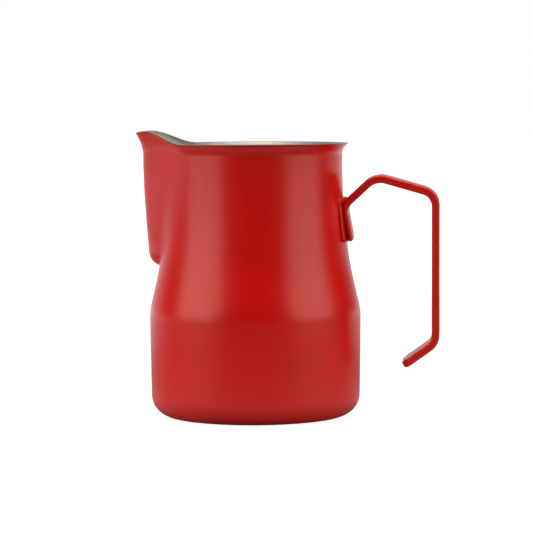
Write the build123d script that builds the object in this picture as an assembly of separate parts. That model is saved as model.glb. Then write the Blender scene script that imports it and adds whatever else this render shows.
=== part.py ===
from build123d import *
import os
from math import cos, pi, radians, sin, sqrt

# Milk frothing pitcher, about half a litre to the brim: a drawn steel body with a pressed
# spout, powder coated outside, and a flat strap handle welded on through a saddle plate.
# Frame: millimetres, origin on the body axis at the standing plane, +Z up,
# +X towards the handle, -X towards the spout.

# ---- driving dimensions ------------------------------------------------------------------
COAT = 0.12                     # powder coating
WALL = 0.8                      # drawn steel
RIM_HEIGHT = 109.8              # round part of the rim

# Round body over the coating, from the base corner up to the neck: height, radius, slope.
BASE_CORNER = 8.8
BODY = [
    (BASE_CORNER, 42.1, 0.010),
    (40.5, 42.5, 0.004),
    (45.6, 41.9, -0.215),
    (58.5, 39.0, -0.200),
    (66.5, 37.7, -0.135),
    (89.0, 35.25, -0.105),
    (103.4, 34.25, 0.0),
]

# Keel of the spout, as a distance from the body axis: height, distance, slope.
KEEL = [(66.8, 43.1, 0.090), (84.4, 44.4, 0.065), (104.0, 45.1, 0.010)]
KEEL_END = 60.4                 # the rounded lower end of the spout dies into the cone here
KEEL_END_DROP = 5.8
SPOUT_FLANK = radians(42)       # angle from the keel to the direction square to a flank
KEEL_ROUNDING = (0.11, 0.057)   # angle that the keel's rounding covers, low down and at the lip
VALLEY = (0.9, 2.4)             # softness of the valley beside the spout, low down and at the lip
SPOUT_FADE = (62.0, 80.0)       # heights between which those two pairs change over

# Rolled-out lip: height and bend radius, on the round rim and at the spout's tip.
ROUND_FLARE = (4.55, 5.0)
TIP_FLARE = (9.3, 15.7)
FLARE_FADE = (30.0, 44.0)       # reach from the axis over which one turns into the other
NECK_HEIGHT = 104.0             # the wall is upright here, below every flare
LIP_RISE = 5.1                  # the spout's lip stands this much above the round rim
LIP_RISE_SPAN = (25.0, 41.0)    # reach from the axis over which it rises
LIP_TIP_DROP = 0.9              # and dips again by this much at the tip

# Saddle plate, curved to the body.
SADDLE_WIDTH = 22.4
SADDLE_BOTTOM = 70.2
SADDLE_TOP = 88.0
SADDLE_THICKNESS = 1.2
SADDLE_CORNER = 2.5

# Strap handle: its route in the side view, from the foot on the saddle to the free end.
STRAP_WIDTH = 18.0
STRAP_THICKNESS = 3.15
STRAP_EDGE = 0.5
STRAP_END_CORNER = 4.5
STRAP_ROUTE = [
    (39.15, 70.6), (36.5, 84.9), (48.85, 96.3), (72.85, 89.35), (72.75, 29.85), (59.8, 20.65),
]
STRAP_BENDS = [5.0, 8.0, 6.5, 6.5]
FOOT_THICKNESS = 1.9            # the foot is thinner, and hollowed to sit on the saddle

# Weld bead between the saddle and the back of the strap's first bend.
WELD_RADIUS = 1.3
WELD_HEIGHT = 86.8

FAR = 80.0                      # reaches past the whole pitcher, for cutting tools
ROW_POINTS = 72


# ---- shape of the body -------------------------------------------------------------------
def ease(value, low, high):
    t = min(max((value - low) / (high - low), 0.0), 1.0)
    return t * t * (3 - 2 * t)


def mix(pair, t):
    return pair[0] + (pair[1] - pair[0]) * t


def along(knots, height):
    """Smooth curve through knots of height, value and slope."""
    if height <= knots[0][0]:
        return knots[0][1]
    for (z0, r0, s0), (z1, r1, s1) in zip(knots, knots[1:]):
        if height <= z1:
            t = (height - z0) / (z1 - z0)
            ends = r0 * (1 + 2 * t) * (1 - t) ** 2 + r1 * t * t * (3 - 2 * t)
            return ends + (z1 - z0) * t * (1 - t) * (s0 * (1 - t) - s1 * t)
    return knots[-1][1]


def soft_max(a, b, softness):
    overlap = max(softness - abs(a - b), 0) / softness
    return max(a, b) + overlap * overlap * softness / 4


# Every surface of the wall is given by its depth below the coated outside.
def keel_distance(height, depth):
    start, end = KEEL[0][0], KEEL_END + depth
    if height >= start:
        return along(KEEL, height)
    fall = min((start - height) / (start - end), 1.0)
    return KEEL[0][1] - KEEL_END_DROP * (1 - sqrt(1 - fall * fall))


def upright_radius(turn, height, depth):
    """Radius without the rolled lip; turn is the angle round the axis from the keel."""
    round_radius = along(BODY, height) - depth
    if height < KEEL_END:
        return round_radius
    fade = ease(height, *SPOUT_FADE)
    rounding = mix(KEEL_ROUNDING, fade)
    swing = min(sqrt(turn * turn + rounding * rounding), SPOUT_FLANK)
    flank = keel_distance(height, depth) * cos(SPOUT_FLANK - rounding) - depth
    return soft_max(round_radius, flank / cos(SPOUT_FLANK - swing), mix(VALLEY, fade))


def rim_height(turn):
    reach = upright_radius(turn, NECK_HEIGHT, 0) * cos(turn)
    past = max(reach - LIP_RISE_SPAN[1], 0) / (KEEL[-1][1] - LIP_RISE_SPAN[1])
    return RIM_HEIGHT + LIP_RISE * ease(reach, *LIP_RISE_SPAN) - LIP_TIP_DROP * past * past


def wall_point(turn, height, depth):
    """The wall above the base corner, with the lip rolled outwards."""
    reach = upright_radius(turn, NECK_HEIGHT, 0) * cos(turn)
    fade = ease(reach, *FLARE_FADE)
    length = mix((ROUND_FLARE[0], TIP_FLARE[0]), fade)
    bend = mix((ROUND_FLARE[1], TIP_FLARE[1]), fade) + depth
    above = max(height - (rim_height(turn) - length), 0)
    radius = upright_radius(turn, height, depth) + bend - sqrt(bend * bend - above * above)
    return Vector(-radius * cos(turn), radius * sin(turn), height)


def corner_point(turn, angle, depth):
    """The rounded base corner, at an angle up from the standing plane."""
    bend = BASE_CORNER - depth
    radius = BODY[0][1] - BASE_CORNER + bend * sin(angle)
    height = BASE_CORNER - COAT - bend * cos(angle)
    return Vector(-radius * cos(turn), radius * sin(turn), height)


def lip_point(turn, share, depth):
    """The wall from the neck to the rim line, share running from 0 to 1."""
    return wall_point(turn, mix((NECK_HEIGHT, rim_height(turn)), share), depth)


def spaced(start, stop, steps):
    return [start + (stop - start) * i / steps for i in range(steps)]


CORNER_ANGLES = [radians(a) for a in (0, 8, 18, 32, 46, 60, 75)]
WALL_HEIGHTS = (spaced(BASE_CORNER, 36.0, 3) + spaced(36.0, 48.0, 6) + spaced(48.0, 60.0, 4)
                + spaced(60.0, 66.0, 10) + spaced(66.0, NECK_HEIGHT, 9))
LIP_SHARES = [1 - (1 - i / 10) ** 1.5 for i in range(11)]
ROWS = ([(corner_point, value) for value in CORNER_ANGLES]
        + [(wall_point, value) for value in WALL_HEIGHTS]
        + [(lip_point, value) for value in LIP_SHARES])
COATED_ROWS = ROWS[2:]          # the coating stops on the base corner, clear of the floor


def row_outline(row, depth):
    """Outline round the body along one row, its points closest together at the keel."""
    place, value = row
    points = []
    for i in range(ROW_POINTS):
        share = 2 * i / ROW_POINTS - 1
        turn = pi * abs(share) ** 1.4
        point = place(turn, value, depth)
        points.append(Vector(point.X, point.Y if share > 0 else -point.Y, point.Z))
    evenly = [i / ROW_POINTS for i in range(ROW_POINTS + 1)]
    return Wire(Edge.make_spline(points, periodic=True, parameters=evenly))


def skin(rows, depth):
    return Shell.make_loft([row_outline(row, depth) for row in rows])


def end_edge(shell, highest):
    """The outline at the foot or at the rim of a skin."""
    level = [e for e in shell.edges() if e.is_closed]
    return sorted(level, key=lambda e: e.center().Z)[-1 if highest else 0]


def wall_between(rows, outer_depth, inner_depth, with_floor):
    """Closed solid between two skins; it has a floor, or is open right through."""
    outer, inner = skin(rows, outer_depth), skin(rows, inner_depth)
    ends = [(end_edge(outer, top), end_edge(inner, top)) for top in (True, False)]
    faces = [Face.make_surface_from_curves(*ends[0])]
    if with_floor:
        faces += [Face(Wire(edge)) for edge in ends[1]]
    else:
        faces.append(Face.make_surface_from_curves(*ends[1]))
    return Solid(Shell(faces + outer.faces() + inner.faces()))


def body_shell():
    """Drawn steel body with a flat base."""
    return wall_between(ROWS, COAT, COAT + WALL, True)


# ---- saddle plate ------------------------------------------------------------------------
def round_body(margin):
    """The upper round body, grown outwards from its bare steel by margin."""
    heights = spaced(SADDLE_BOTTOM - 6, SADDLE_TOP + 12, 10)
    side = [(along(BODY, z) - COAT + margin, z) for z in heights]
    outline = [Spline(side), Polyline(side[-1], (0, heights[-1]), (0, heights[0]), side[0])]
    return revolve(Plane.XZ * make_face(outline), Axis.Z)


def saddle_window(margin_in, margin_out, width, bottom, top, corner):
    """Curved plate with rounded corners, between two distances from the bare steel."""
    height = top - bottom
    outline = Plane((FAR / 2, 0, bottom + height / 2), x_dir=(0, 1, 0), z_dir=(1, 0, 0))
    through = extrude(outline * RectangleRounded(width, height, corner), amount=FAR / 2, both=True)
    return (round_body(margin_out) & through) - round_body(margin_in)


# ---- strap handle ------------------------------------------------------------------------
def meeting(first, second):
    """Where two lines cross, each given as a point and a heading."""
    (start, heading), (other, other_heading) = first, second
    share = (other - start).cross(other_heading).Z / heading.cross(other_heading).Z
    return start + heading * share


def strap_side(side):
    """Corners of one wide face of the strap, seen edge on; side is 1 towards the fingers."""
    route = [Vector(*point) for point in STRAP_ROUTE]
    lines = []
    for start, end in zip(route, route[1:]):
        heading = (end - start).normalized()
        thickness = STRAP_THICKNESS if lines else FOOT_THICKNESS
        lines.append((start + Vector(heading.Y, -heading.X) * side * thickness / 2, heading))
    bends = [meeting(one, other) for one, other in zip(lines, lines[1:])]
    shift = lines[-1][0] - route[-2]
    return [lines[0][0]] + bends + [route[-1] + shift]


def strap_profile():
    """The strap seen edge on, with its four bends rounded on both faces."""
    fingers, away = strap_side(1), strap_side(-1)
    profile = make_face(Polyline(*fingers, *reversed(away), close=True))
    for side, face in ((-1, fingers), (1, away)):
        for corner, bend in zip(face[1:-1], STRAP_BENDS):
            vertex = profile.vertices().sort_by_distance(corner)[0]
            profile = fillet(vertex, bend + side * STRAP_THICKNESS / 2)
    return profile


def strap_bar():
    """Bent strap with its free end rounded in plan and its edges rounded all round."""
    bar = extrude(Plane.XZ * strap_profile(), amount=STRAP_WIDTH / 2, both=True)
    (foot_x, foot_z), (tip_x, tip_z) = STRAP_ROUTE[0], STRAP_ROUTE[-1]
    tip = bar.faces().sort_by_distance((tip_x, 0, tip_z))[0]
    bar = fillet([e for e in tip.edges() if abs((e % 0.5).Y) < 0.5], STRAP_END_CORNER)
    ends = [bar.faces().sort_by_distance(at)[0] for at in ((foot_x, 0, foot_z), (tip_x, 0, tip_z))]
    rim = [e for end in ends for e in end.edges() if abs((e % 0.5).Y) > 0.99]
    for edge in bar.edges():
        through = edge.geom_type == GeomType.LINE and edge.length < STRAP_THICKNESS + 0.01
        if abs((edge % 0.5).Y) < 0.99 and not through:
            rim.append(edge)
    return fillet(rim, STRAP_EDGE)


def strap_weld(strap):
    """Weld bead between the saddle and the back of the strap's first bend."""
    reach = along(BODY, WELD_HEIGHT) - COAT + SADDLE_THICKNESS
    half = STRAP_WIDTH / 2 - WELD_RADIUS / 2
    ends = [(sqrt(reach * reach - half * half), y, WELD_HEIGHT) for y in (-half, half)]
    line = ThreePointArc(ends[0], (reach, 0, WELD_HEIGHT), ends[1])
    rod = sweep(Plane(line @ 0, z_dir=line % 0) * Circle(WELD_RADIUS), line)
    bead = rod - round_body(SADDLE_THICKNESS) - strap
    return bead.solids().sort_by(SortBy.VOLUME)[-1]


# ---- write one file per piece ------------------------------------------------------------
def main():
    os.makedirs("parts", exist_ok=True)
    saddle_size = (SADDLE_WIDTH, SADDLE_BOTTOM, SADDLE_TOP, SADDLE_CORNER)
    saddle = saddle_window(0, SADDLE_THICKNESS, *saddle_size)
    coating = wall_between(COATED_ROWS, 0, COAT, False) - saddle_window(-1, 1, *saddle_size)
    strap = strap_bar() - round_body(SADDLE_THICKNESS)
    pieces = {
        "body_shell": body_shell(),
        "exterior_coating": coating,
        "saddle_plate": saddle,
        "strap_handle": strap,
        "strap_weld_bead": strap_weld(strap),
    }
    for name, piece in pieces.items():
        export_step(piece, f"parts/{name}.step")
        print(name, round(piece.volume, 1), "mm3")


main()
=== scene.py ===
from math import atan2, cos, hypot, pi, radians, sin, sqrt

import bmesh
import bpy
from mathutils import Matrix, Vector


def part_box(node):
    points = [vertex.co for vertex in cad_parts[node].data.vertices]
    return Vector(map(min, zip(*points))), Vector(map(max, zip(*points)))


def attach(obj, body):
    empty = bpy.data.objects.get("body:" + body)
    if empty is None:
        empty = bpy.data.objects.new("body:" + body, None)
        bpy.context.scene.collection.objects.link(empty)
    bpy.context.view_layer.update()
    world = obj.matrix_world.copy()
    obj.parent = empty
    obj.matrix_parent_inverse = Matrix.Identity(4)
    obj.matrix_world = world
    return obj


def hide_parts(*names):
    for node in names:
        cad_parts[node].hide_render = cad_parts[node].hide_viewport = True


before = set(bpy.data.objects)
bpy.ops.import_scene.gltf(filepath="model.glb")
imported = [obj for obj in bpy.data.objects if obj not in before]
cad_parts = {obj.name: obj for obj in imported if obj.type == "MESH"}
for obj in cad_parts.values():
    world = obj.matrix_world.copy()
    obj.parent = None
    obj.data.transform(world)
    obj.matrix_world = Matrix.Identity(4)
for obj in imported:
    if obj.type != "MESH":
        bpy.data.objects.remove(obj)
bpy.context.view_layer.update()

MM = 0.001


# ---- the pitcher's own shape, in millimetres; depth is measured in from the coated outside
COAT, WALL = 0.12, 0.8
LIP_RISE, LIP_RISE_SPAN, LIP_TIP_DROP = 5.1, (25.0, 41.0), 0.9
RIM_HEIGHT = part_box("body_shell")[1][2] / MM - LIP_RISE
BASE_CORNER, BASE_RADIUS = 8.8, 42.1
# The round body and the spout's keel, as height, distance from the axis, slope.
BODY = [(BASE_CORNER, BASE_RADIUS, 0.010), (40.5, 42.5, 0.004), (45.6, 41.9, -0.215),
        (58.5, 39.0, -0.200), (66.5, 37.7, -0.135), (89.0, 35.25, -0.105), (103.4, 34.25, 0.0)]
KEEL = [(66.8, 43.1, 0.090), (84.4, 44.4, 0.065), (104.0, 45.1, 0.010)]
KEEL_END, KEEL_END_DROP = 60.4, 5.8     # the spout's rounded lower end
SPOUT_FLANK = radians(42)       # from the keel to the direction square to a flank
KEEL_ROUNDING = (0.11, 0.057)   # in radians, low down and at the lip
VALLEY = (0.9, 2.4)             # softness beside the spout, low down and at the lip
SPOUT_FADE = (62.0, 80.0)       # heights between which those two pairs change over
ROUND_FLARE, TIP_FLARE = (4.55, 5.0), (9.3, 15.7)   # the rolled lip's height and bend radius
FLARE_FADE = (30.0, 44.0)       # reach from the axis over which one turns into the other
NECK_HEIGHT = 104.0             # the wall is upright here, below every flare
BARE_LIP = 0.1                  # the coating ends this far below the rim
COAT_BACK = 0.10                # the coating's inner face, just clear of the steel


def ease(value, low, high):
    t = min(max((value - low) / (high - low), 0.0), 1.0)
    return t * t * (3 - 2 * t)


def mix(pair, t):
    return pair[0] + (pair[1] - pair[0]) * t


def along(knots, height):
    for (z0, r0, s0), (z1, r1, s1) in zip(knots, knots[1:]):
        if height <= z1:
            break
    t = min(max((height - z0) / (z1 - z0), 0.0), 1.0)
    ends = r0 * (1 + 2 * t) * (1 - t) ** 2 + r1 * t * t * (3 - 2 * t)
    return ends + (z1 - z0) * t * (1 - t) * (s0 * (1 - t) - s1 * t)


def soft_max(a, b, softness):
    overlap = max(softness - abs(a - b), 0) / softness
    return max(a, b) + overlap * overlap * softness / 4


def keel_distance(height, depth):
    start, end = KEEL[0][0], KEEL_END + depth
    if height >= start:
        return along(KEEL, height)
    fall = min((start - height) / (start - end), 1.0)
    return KEEL[0][1] - KEEL_END_DROP * (1 - sqrt(1 - fall * fall))


def upright_radius(turn, height, depth):
    round_radius = along(BODY, height) - depth
    if height < KEEL_END:
        return round_radius
    fade = ease(height, *SPOUT_FADE)
    rounding = mix(KEEL_ROUNDING, fade)
    swing = min(sqrt(turn * turn + rounding * rounding), SPOUT_FLANK)
    flank = keel_distance(height, depth) * cos(SPOUT_FLANK - rounding) - depth
    return soft_max(round_radius, flank / cos(SPOUT_FLANK - swing), mix(VALLEY, fade))


def rim_height(turn):
    reach = upright_radius(turn, NECK_HEIGHT, 0) * cos(turn)
    past = max(reach - LIP_RISE_SPAN[1], 0) / (KEEL[-1][1] - LIP_RISE_SPAN[1])
    return RIM_HEIGHT + LIP_RISE * ease(reach, *LIP_RISE_SPAN) - LIP_TIP_DROP * past * past


def wall_radius(turn, height, depth):
    reach = upright_radius(turn, NECK_HEIGHT, 0) * cos(turn)
    fade = ease(reach, *FLARE_FADE)
    length = mix((ROUND_FLARE[0], TIP_FLARE[0]), fade)
    bend = mix((ROUND_FLARE[1], TIP_FLARE[1]), fade) + depth
    above = max(height - (rim_height(turn) - length), 0)
    return upright_radius(turn, height, depth) + bend - sqrt(bend * bend - above * above)


def corner(angle, depth):
    bend = BASE_CORNER - depth
    return BASE_RADIUS - BASE_CORNER + bend * sin(angle), BASE_CORNER - COAT - bend * cos(angle)


def rounded(start, tip, end, steps=6):
    """Points on the curve from start to end that a corner at tip pulls out."""
    points = []
    for i in range(steps + 1):
        t = i / steps
        a, b, c = (1 - t) ** 2, 2 * t * (1 - t), t * t
        points.append(tuple(a * p + b * q + c * r for p, q, r in zip(start, tip, end)))
    return points


# ---- mesh helpers
def spread(low, high, count):
    return [low + (high - low) * i / count for i in range(count)]


KEEL_START = KEEL[0][0]
KEEL_STEPS = 18
WALL_HEIGHTS = spread(BASE_CORNER, 38.0, 10) + spread(38.0, KEEL_END, 22)
WALL_HEIGHTS += [KEEL_END + (KEEL_START - KEEL_END) * (1 - cos(i * pi / (2 * KEEL_STEPS)))
                 for i in range(KEEL_STEPS)]
WALL_HEIGHTS += spread(KEEL_START, NECK_HEIGHT, 26)
LIP_STEPS = 22
COLUMNS = 288
KEEL_CROWDING = 0.55            # how much closer together the columns are at the keel
TURNS = [a - KEEL_CROWDING * sin(a) for a in spread(0, 2 * pi, COLUMNS)]
TURNS = [a if a <= pi else a - 2 * pi for a in TURNS]


def skin(turn, depth, top):
    """(radius, height) points up the wall, from the base corner to the height top."""
    points = [(wall_radius(turn, z, depth), z) for z in WALL_HEIGHTS]
    for i in range(LIP_STEPS + 1):
        z = mix((NECK_HEIGHT, top), i / LIP_STEPS)
        points.append((wall_radius(turn, z, depth), z))
    return points


def make_object(name, points, faces):
    mesh = bpy.data.meshes.new(name)
    mesh.from_pydata([tuple(c * MM for c in p) for p in points], [], faces)
    bm = bmesh.new()
    bm.from_mesh(mesh)
    bmesh.ops.remove_doubles(bm, verts=bm.verts, dist=1e-7)
    bmesh.ops.recalc_face_normals(bm, faces=bm.faces)
    bm.to_mesh(mesh)
    bm.free()
    mesh.shade_smooth()
    piece = bpy.data.objects.new(name, mesh)
    bpy.context.scene.collection.objects.link(piece)
    return piece


def turned(name, profile_at, closed):
    """A piece whose (radius, height) profile changes with the turn about the axis."""
    profiles = [profile_at(turn) for turn in TURNS]
    rows = len(profiles[0])
    points = [(-r * cos(turn), r * sin(turn), z)
              for turn, profile in zip(TURNS, profiles) for r, z in profile]
    faces = []
    for j in range(COLUMNS):
        here, there = j * rows, (j + 1) % COLUMNS * rows
        for i in range(rows if closed else rows - 1):
            k = (i + 1) % rows
            faces.append((here + i, here + k, there + k, there + i))
    return make_object(name, points, faces)


# ---- steel body: one skin from the middle of the base, over the rim, to the middle of the floor
CORNER_ANGLES = [radians(a) for a in range(0, 90, 6)]
COATING_FOOT = radians(18)      # the coating starts at this angle up the base corner
BASE_DISH = 0.3
# The underside: a shallow dish inside the ring that the pitcher stands on.
DISH = [(0, BASE_DISH), (14, BASE_DISH), (27, BASE_DISH)]
DISH_EDGE = (28.5, BASE_DISH), (29.5, BASE_DISH), (30.3, 0.12)
STANDING_RING = (30.6, 0), (31, 0), (32, 0)
FLOOR_RADII = (28, 20, 10, 0)
# The ground rim: width and height of its outer and inner rounding.
RIM_OUTER, RIM_INNER = (0.5, 0.06), (0.35, 0.3)
RIM_SIDE_DEPTH = 0.03
LIP_TUCK = 0.1                  # the steel's side ends this far under the coating's top


def steel_profile(turn):
    top = rim_height(turn)
    coat_top = top - BARE_LIP
    edge, inner_edge = wall_radius(turn, top, 0), wall_radius(turn, top, COAT + WALL)
    under = DISH + rounded(*DISH_EDGE) + rounded(*STANDING_RING)
    outside = [corner(a, COAT) for a in CORNER_ANGLES] + skin(turn, COAT, coat_top - LIP_TUCK)
    inside = skin(turn, COAT + WALL, top - RIM_INNER[1])[::-1]
    side = (wall_radius(turn, coat_top, RIM_SIDE_DEPTH), coat_top)
    lip = rounded(side, (edge, top - RIM_OUTER[1]), (edge - RIM_OUTER[0], top), 8)
    lip += rounded((inner_edge + RIM_INNER[0], top), (inner_edge, top), inside[0], 5)[:-1]
    inside += [corner(a, COAT + WALL) for a in CORNER_ANGLES[::-1]]
    floor = [(r, WALL) for r in FLOOR_RADII]
    return under + outside + lip + inside + floor


def coating_profile(turn):
    top = rim_height(turn) - BARE_LIP
    angles = [a for a in CORNER_ANGLES if a >= COATING_FOOT]
    outer = [corner(a, 0) for a in angles] + skin(turn, 0, top)
    inner = [corner(a, COAT_BACK) for a in angles] + skin(turn, COAT_BACK, top)
    return outer + inner[::-1]


body = turned("body_steel", steel_profile, False)
coating = turned("body_coating", coating_profile, True)


# ---- flat pieces: a plan outline with rounded corners, even thickness and rounded edges
def inset(along_it, across, length, half_width, first_corner, last_corner):
    """How far a plan point is inside the outline."""
    radius = first_corner if along_it < length / 2 else last_corner
    to_end = min(along_it, length - along_it)
    u, v = radius - to_end, abs(across) - (half_width - radius)
    if u > 0 and v > 0:
        return max(radius - hypot(u, v), 0)
    return max(min(to_end, half_width - abs(across)), 0)


def half_width_at(along_it, length, half_width, first_corner, last_corner):
    radius = first_corner if along_it < length / 2 else last_corner
    u = max(radius - min(along_it, length - along_it), 0)
    return half_width - radius + sqrt(max(radius * radius - u * u, 0))


END_STEPS = 16
EDGE_BAND = [0, 0.015, 0.06, 0.13, 0.22, 0.33, 0.46, 0.62, 1.0, 1.8]    # in from the side


def end_stations(radius):
    return [radius * (1 - cos(i * pi / (2 * END_STEPS))) for i in range(END_STEPS + 1)]


def flat_piece(name, length, half_width, corners, middle, edge, place, thickness):
    """place(along, across, offset) gives the point; offset runs between the two faces."""
    first, last = corners
    stations = end_stations(first) + middle
    stations += [length - s for s in end_stations(last)[::-1]]
    shares = [1 - b / half_width for b in EDGE_BAND]
    core = spread(shares[-1], -shares[-1], 10)[1:]
    shares = shares + core + [-s for s in shares[::-1]]
    count = len(shares)
    points, faces = [], []
    for side in (1, -1):
        for s in stations:
            width = half_width_at(s, length, half_width, first, last)
            full = thickness(s) / 2
            bend = min(edge, full)
            for share in shares:
                across = width * share
                d = min(inset(s, across, length, half_width, first, last), bend)
                if abs(share) == 1:
                    d = 0
                rise = full - bend + sqrt(max(bend * bend - (bend - d) ** 2, 0))
                points.append(place(s, across, side * rise))
    half = len(stations) * count
    for i in range(len(stations) - 1):
        for j in range(count - 1):
            a = i * count + j
            faces.append((a, a + 1, a + 1 + count, a + count))
            faces.append(tuple(half + k for k in (a, a + count, a + 1 + count, a + 1)))
        for j in (0, count - 1):
            a = i * count + j
            faces.append((a, a + count, half + a + count, half + a))
    for i in (0, len(stations) - 1):
        for j in range(count - 1):
            a = i * count + j
            faces.append((a, a + 1, half + a + 1, half + a))
    return make_object(name, points, faces)


# ---- saddle plate, wrapped round the body
SADDLE_LOW, SADDLE_HIGH = 70.2, 88.0
SADDLE_HALF_WIDTH, SADDLE_CORNER, SADDLE_EDGE = 11.2, 2.5, 0.4
SADDLE_RISE = 1.08              # over the coating
SADDLE_THICKNESS = SADDLE_RISE + 0.1    # its back sinks a little into the coating
SADDLE_ROWS = spread(SADDLE_CORNER + 0.5, 15.0, 16)


def on_saddle(up, across, offset):
    z = SADDLE_LOW + up
    reach = along(BODY, z) + SADDLE_RISE / 2 + offset
    return sqrt(reach * reach - across * across), across, z


saddle = flat_piece("saddle_plate_coated", SADDLE_HIGH - SADDLE_LOW, SADDLE_HALF_WIDTH,
                    (SADDLE_CORNER, SADDLE_CORNER), SADDLE_ROWS, SADDLE_EDGE, on_saddle,
                    lambda up: SADDLE_THICKNESS)


# ---- strap handle, as a path of straight runs and bends in the XZ plane
STRAP_ROUTE = [(39.15, 70.6), (36.5, 84.9), (48.85, 96.3), (72.85, 89.35), (72.75, 29.85),
               (59.8, 20.65)]
STRAP_BENDS = [5.0, 8.0, 6.5, 6.5]
STRAP_HALF_WIDTH, STRAP_THICKNESS, FOOT_THICKNESS = 9.0, 3.15, 1.9
STRAP_EDGE, STRAP_FOOT_CORNER, STRAP_END_CORNER = 1.0, 0.7, 4.5
STRAP_ROWS = 260
FOOT_TAPER = (1.5, 1.0)         # the foot thickens from before its bend to after it


def strap_legs():
    """(start, heading, length, turn per mm) for each run and bend."""
    points = [Vector(p) for p in STRAP_ROUTE]
    headings = [(b - a).normalized() for a, b in zip(points, points[1:])]
    legs, here = [], points[0]
    bends = zip(points[1:], headings, headings[1:], STRAP_BENDS)
    for corner_point, before, after, radius in bends:
        turn = atan2(before.cross(after), before.dot(after))
        cut = radius * abs(sin(turn / 2) / cos(turn / 2))
        start = corner_point - before * cut
        legs.append((here, before, (start - here).length, 0.0))
        legs.append((start, before, radius * abs(turn), turn / (radius * abs(turn))))
        here = corner_point + after * cut
    legs.append((here, headings[-1], (points[-1] - here).length, 0.0))
    return legs


LEGS = strap_legs()
STRAP_LENGTH = sum(leg[2] for leg in LEGS)


def on_strap(s, across, offset):
    for start, heading, length, bend in LEGS:
        if s <= length:
            break
        s -= length
    s = min(s, length)
    if bend:
        side = Vector((-heading.y, heading.x))
        point = start + heading * (sin(bend * s) / bend) + side * ((1 - cos(bend * s)) / bend)
        heading = heading * cos(bend * s) + side * sin(bend * s)
    else:
        point = start + heading * s
    point = point + Vector((heading.y, -heading.x)) * offset
    return point.x, across, point.y


def strap_thickness(s):
    bend_start = LEGS[0][2]
    bend_end = bend_start + LEGS[1][2]
    share = ease(s, bend_start - FOOT_TAPER[0], bend_end + FOOT_TAPER[1])
    return mix((FOOT_THICKNESS, STRAP_THICKNESS), share)


strap_rows = spread(STRAP_FOOT_CORNER + 0.5, STRAP_LENGTH - STRAP_END_CORNER - 0.4, STRAP_ROWS)
strap = flat_piece("strap_coated", STRAP_LENGTH, STRAP_HALF_WIDTH,
                   (STRAP_FOOT_CORNER, STRAP_END_CORNER), strap_rows, STRAP_EDGE, on_strap,
                   strap_thickness)


# ---- weld in the vee between saddle and strap: a bead of overlapping puddles
WELD_HEIGHT, WELD_RADIUS, WELD_INSET = 86.8, 1.15, 0.7
WELD_WANDER = (0.12, 1.7)       # height, and turns per mm across, in radians
WELD_RIPPLE = (0.10, 2.4)
WELD_STAND_OFF, WELD_LEAN, WELD_BLUNTNESS = 0.1, 0.25, 0.35


def weld_points():
    rings, around = 120, 20
    half = STRAP_HALF_WIDTH - WELD_INSET
    points, faces = [], []
    for i in range(rings + 1):
        y = half * (1 - 2 * i / rings)
        z = WELD_HEIGHT + WELD_WANDER[0] * sin(y * WELD_WANDER[1])
        x = sqrt((along(BODY, z) + SADDLE_RISE) ** 2 - y * y) + WELD_STAND_OFF
        end = sqrt(max(1 - (y / half) ** 2, 0)) ** WELD_BLUNTNESS
        radius = (WELD_RADIUS + WELD_RIPPLE[0] * abs(sin(y * WELD_RIPPLE[1]))) * end
        for k in range(around):
            a = 2 * pi * k / around
            lean = WELD_LEAN * sin(a) * end
            points.append((x + radius * cos(a), y - lean, z + radius * sin(a)))
    for i in range(rings):
        for k in range(around):
            a, b = i * around + k, i * around + (k + 1) % around
            faces.append((a, b, b + around, a + around))
    return points, faces


weld = make_object("strap_weld_coated", *weld_points())


# ---- materials
def node(tree, kind, inputs=None, **settings):
    made = tree.nodes.new(kind)
    for key, value in settings.items():
        setattr(made, key, value)
    for key, value in (inputs or {}).items():
        if isinstance(value, bpy.types.NodeSocket):
            tree.links.new(value, made.inputs[key])
        else:
            made.inputs[key].default_value = value
    return made


def new_material(name):
    material = bpy.data.materials.new(name)
    material.use_nodes = True
    tree = material.node_tree
    tree.nodes.clear()
    shader = node(tree, "ShaderNodeBsdfPrincipled")
    node(tree, "ShaderNodeOutputMaterial", {"Surface": shader.outputs[0]})
    return material, tree, shader


def noise(tree, place, scale, detail=2.0, rough=0.5):
    made = node(tree, "ShaderNodeTexNoise", {"Vector": place, "Scale": scale, "Detail": detail,
                                             "Roughness": rough})
    return made.outputs[0]


def ramp(tree, factor, low, high, out_low, out_high):
    made = node(tree, "ShaderNodeMapRange", {"Value": factor, "From Min": low, "From Max": high,
                                             "To Min": out_low, "To Max": out_high})
    return made.outputs[0]


NOISE_SPAN = (0.3, 0.7)         # most of a noise texture's values are between these
RUB = 0.02                      # how far rubbing changes the coating's roughness


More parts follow.
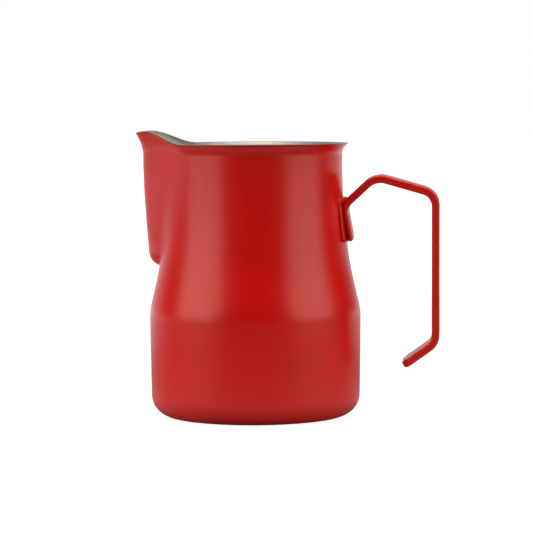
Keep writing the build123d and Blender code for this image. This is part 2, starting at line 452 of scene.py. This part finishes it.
def powder_coat(name, deep, bright, roughness):
    """Satin powder coating: slight mottling, rubbed patches, orange peel and fine grain."""
    material, tree, shader = new_material(name)
    place = node(tree, "ShaderNodeTexCoord").outputs["Object"]
    mottle = ramp(tree, noise(tree, place, scale=55.0, detail=3.0), *NOISE_SPAN, 0, 1)
    colour = node(tree, "ShaderNodeMix", {0: mottle, 6: deep, 7: bright}, data_type="RGBA")
    rub = noise(tree, place, scale=130.0, detail=4.0, rough=0.6)
    tree.links.new(colour.outputs[2], shader.inputs["Base Color"])
    tree.links.new(ramp(tree, rub, *NOISE_SPAN, roughness - RUB, roughness + RUB),
                   shader.inputs["Roughness"])
    peel = noise(tree, place, scale=900.0, detail=2.0)
    grain = noise(tree, place, scale=3200.0, detail=1.0)
    orange_peel = node(tree, "ShaderNodeBump", {"Height": peel, "Strength": 0.10,
                                                "Distance": 0.0002})
    fine = node(tree, "ShaderNodeBump", {"Height": grain, "Strength": 0.10, "Distance": 0.00005,
                                         "Normal": orange_peel.outputs[0]})
    tree.links.new(fine.outputs[0], shader.inputs["Normal"])
    shader.inputs["IOR"].default_value = 1.5
    shader.inputs["Specular IOR Level"].default_value = 0.53
    return material


STEEL_DARK, STEEL_LIGHT = (0.38, 0.355, 0.33, 1), (0.48, 0.45, 0.42, 1)
BRUSH_SCALE = (60, 60, 5200)    # long round the axis, very fine up it


def brushed_steel(name):
    """Stainless steel, brushed round the axis, with faint draw marks and smudges."""
    material, tree, shader = new_material(name)
    place = node(tree, "ShaderNodeTexCoord").outputs["Object"]
    rings = node(tree, "ShaderNodeMapping", {"Vector": place, "Scale": BRUSH_SCALE}).outputs[0]
    brush = noise(tree, rings, scale=1.0, detail=3.0, rough=0.6)
    smudge = noise(tree, place, scale=38.0, detail=3.0)
    share = ramp(tree, brush, *NOISE_SPAN, 0, 1)
    colour = node(tree, "ShaderNodeMix", {0: share, 6: STEEL_DARK, 7: STEEL_LIGHT},
                  data_type="RGBA").outputs[2]
    tree.links.new(colour, shader.inputs["Base Color"])
    streaks = ramp(tree, brush, 0.25, 0.75, 0.40, 0.52)
    dull = ramp(tree, smudge, 0.35, 0.7, 0.0, 0.07)
    tree.links.new(node(tree, "ShaderNodeMath", {0: streaks, 1: dull}).outputs[0],
                   shader.inputs["Roughness"])
    bump = node(tree, "ShaderNodeBump", {"Height": brush, "Strength": 0.12, "Distance": 0.0001})
    tree.links.new(bump.outputs[0], shader.inputs["Normal"])
    shader.inputs["Metallic"].default_value = 1.0
    return material


RED_DEEP = (0.70, 0.0040, 0.0008, 1)
RED_BRIGHT = (0.77, 0.0056, 0.0012, 1)
red = powder_coat("red_powder_coat", RED_DEEP, RED_BRIGHT, 0.31)
handle_red = powder_coat("handle_powder_coat", RED_DEEP, RED_BRIGHT, 0.36)
weld_red = powder_coat("weld_powder_coat", RED_DEEP, RED_BRIGHT, 0.40)
steel = brushed_steel("brushed_steel")

for piece, material, stands_for, slot in (
        (body, steel, "body_shell", "bare_steel"),
        (coating, red, "exterior_coating", "red_coating"),
        (saddle, handle_red, "saddle_plate", "coated_handle"),
        (strap, handle_red, "strap_handle", "coated_handle"),
        (weld, weld_red, "strap_weld_bead", "coated_weld")):
    piece.data.materials.append(material)
    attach(piece, "root")
    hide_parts(stands_for)


# ---- floor, light and camera
BACK_TURN = radians(12)         # the bright back is turned this much to the left
FLOOR_RADIUS, FLOOR_ROUGHNESS, FLOOR_SPECULAR = 6, 0.9, 0.1
FLOOR_DARK, FLOOR_LIGHT = (0.21, 0.21, 0.21, 1), (0.25, 0.25, 0.25, 1)
FLOOR_SEEN = 0.92               # brightness of the floor to the camera
FAR_SPAN, FAR_GLOW = (0.1, 0.6), 1.2        # distance behind the pitcher, and the light there
NEAR_RISE, NEAR_FALL, NEAR_GLOW = (0.034, 0.062), (0.08, 0.18), 0.3     # round the base
BACKDROP_SPAN, BACKDROP_GLOW = (0.6, 0.97), (0.006, 0.85)
LIGHT_COLOUR = (1.0, 0.95, 0.82)
LIGHT_TARGET = Vector((0, 0, 0.06))
SOFTBOXES = (                   # name, azimuth, elevation, distance, width, height, power
    ("softbox_left", -63, 24, 1.3, 1.21, 1.2, 10.7),
    ("softbox_right", 71, 24, 1.3, 1.2, 1.2, 9.3),
    ("softbox_top", 0, 88, 1.4, 1.2, 1.2, 14))
SENSOR_WIDTH, FRAME_PIXELS, FOCAL_PIXELS = 36, 533, 2407
CAMERA_AROUND, CAMERA_DISTANCE, CAMERA_HEIGHT = radians(4.7), 0.9696, 0.1283
CAMERA_ASIDE, CAMERA_PITCH, CAMERA_ROLL = radians(0.273), radians(4.031), radians(-0.33)


def behind(tree, place):
    """How far a place or direction points to the back, a little to the left."""
    turned_back = (-sin(BACK_TURN), cos(BACK_TURN), 0)
    made = node(tree, "ShaderNodeVectorMath", {0: place, 1: turned_back}, operation="DOT_PRODUCT")
    return made.outputs["Value"]


def stage_floor():
    """White to the camera; to the pitcher it glows behind and in a ring round the base."""
    mesh = bpy.data.meshes.new("floor")
    bm = bmesh.new()
    bmesh.ops.create_circle(bm, cap_ends=True, segments=128, radius=FLOOR_RADIUS)
    bm.to_mesh(mesh)
    bm.free()
    floor = bpy.data.objects.new("floor", mesh)
    bpy.context.scene.collection.objects.link(floor)
    material, tree, shader = new_material("pale_floor")
    place = node(tree, "ShaderNodeTexCoord").outputs["Object"]
    cloud = noise(tree, place, scale=3.0)
    pale = node(tree, "ShaderNodeMix", {0: cloud, 6: FLOOR_DARK, 7: FLOOR_LIGHT},
                data_type="RGBA").outputs[2]
    tree.links.new(pale, shader.inputs["Base Color"])
    shader.inputs["Roughness"].default_value = FLOOR_ROUGHNESS
    shader.inputs["Specular IOR Level"].default_value = FLOOR_SPECULAR
    shader.inputs["Emission Color"].default_value = (1, 1, 1, 1)
    camera_ray = node(tree, "ShaderNodeLightPath").outputs["Is Camera Ray"]
    seen = ramp(tree, camera_ray, 0, 1, 0, FLOOR_SEEN)
    far = ramp(tree, behind(tree, place), *FAR_SPAN, 0, FAR_GLOW)
    reach = node(tree, "ShaderNodeVectorMath", {0: place}, operation="LENGTH").outputs["Value"]
    rise = ramp(tree, reach, *NEAR_RISE, 0, NEAR_GLOW)
    fall = ramp(tree, reach, *NEAR_FALL, NEAR_GLOW, 0)
    near = node(tree, "ShaderNodeMath", {0: rise, 1: fall}, operation="MINIMUM").outputs[0]
    unseen = node(tree, "ShaderNodeMath", {0: near, 1: far}, operation="MAXIMUM").outputs[0]
    glow = node(tree, "ShaderNodeMath", {0: seen, 1: unseen}, operation="MAXIMUM")
    tree.links.new(glow.outputs[0], shader.inputs["Emission Strength"])
    mesh.materials.append(material)


def softbox(name, azimuth, elevation, distance, width, height, power):
    """Azimuth is measured from the front, positive to the right; the box faces the pitcher."""
    light = bpy.data.lights.new(name, "AREA")
    light.shape, light.size, light.size_y, light.energy = "RECTANGLE", width, height, power
    light.color = LIGHT_COLOUR
    lamp = bpy.data.objects.new(name, light)
    a, e = radians(azimuth), radians(elevation)
    away = Vector((sin(a) * cos(e), -cos(a) * cos(e), sin(e)))
    lamp.location = LIGHT_TARGET + away * distance
    lamp.rotation_euler = away.to_track_quat("Z", "Y").to_euler()
    bpy.context.scene.collection.objects.link(lamp)


def studio():
    """A backdrop that is white to the camera and lights the pitcher from behind, and the lamps."""
    world = bpy.data.worlds.new("studio")
    bpy.context.scene.world = world
    world.use_nodes = True
    tree = world.node_tree
    tree.nodes.clear()
    place = node(tree, "ShaderNodeTexCoord").outputs["Generated"]
    level = ramp(tree, behind(tree, place), *BACKDROP_SPAN, *BACKDROP_GLOW)
    seen = node(tree, "ShaderNodeLightPath").outputs["Is Camera Ray"]
    shown = node(tree, "ShaderNodeMix", {0: seen, 2: level, 3: 1.0}).outputs[0]
    light = node(tree, "ShaderNodeBackground", {"Color": (1, 1, 1, 1), "Strength": shown})
    node(tree, "ShaderNodeOutputWorld", {"Surface": light.outputs[0]})
    for settings in SOFTBOXES:
        softbox(*settings)


def camera():
    lens = bpy.data.cameras.new("camera")
    lens.sensor_width, lens.lens = SENSOR_WIDTH, SENSOR_WIDTH * FOCAL_PIXELS / FRAME_PIXELS
    lens.dof.use_dof = False
    eye = bpy.data.objects.new("camera", lens)
    bpy.context.scene.collection.objects.link(eye)
    eye.location = (CAMERA_DISTANCE * sin(CAMERA_AROUND), -CAMERA_DISTANCE * cos(CAMERA_AROUND),
                    CAMERA_HEIGHT)
    heading, pitch = CAMERA_AROUND - CAMERA_ASIDE, CAMERA_PITCH
    forward = Vector((-sin(heading) * cos(pitch), cos(heading) * cos(pitch), -sin(pitch)))
    level = forward.to_track_quat("-Z", "Y").to_matrix()
    eye.rotation_euler = (level @ Matrix.Rotation(CAMERA_ROLL, 3, "Z")).to_euler()
    bpy.context.scene.camera = eye


stage_floor()
studio()
camera()
bpy.context.scene.view_settings.view_transform = "Standard"
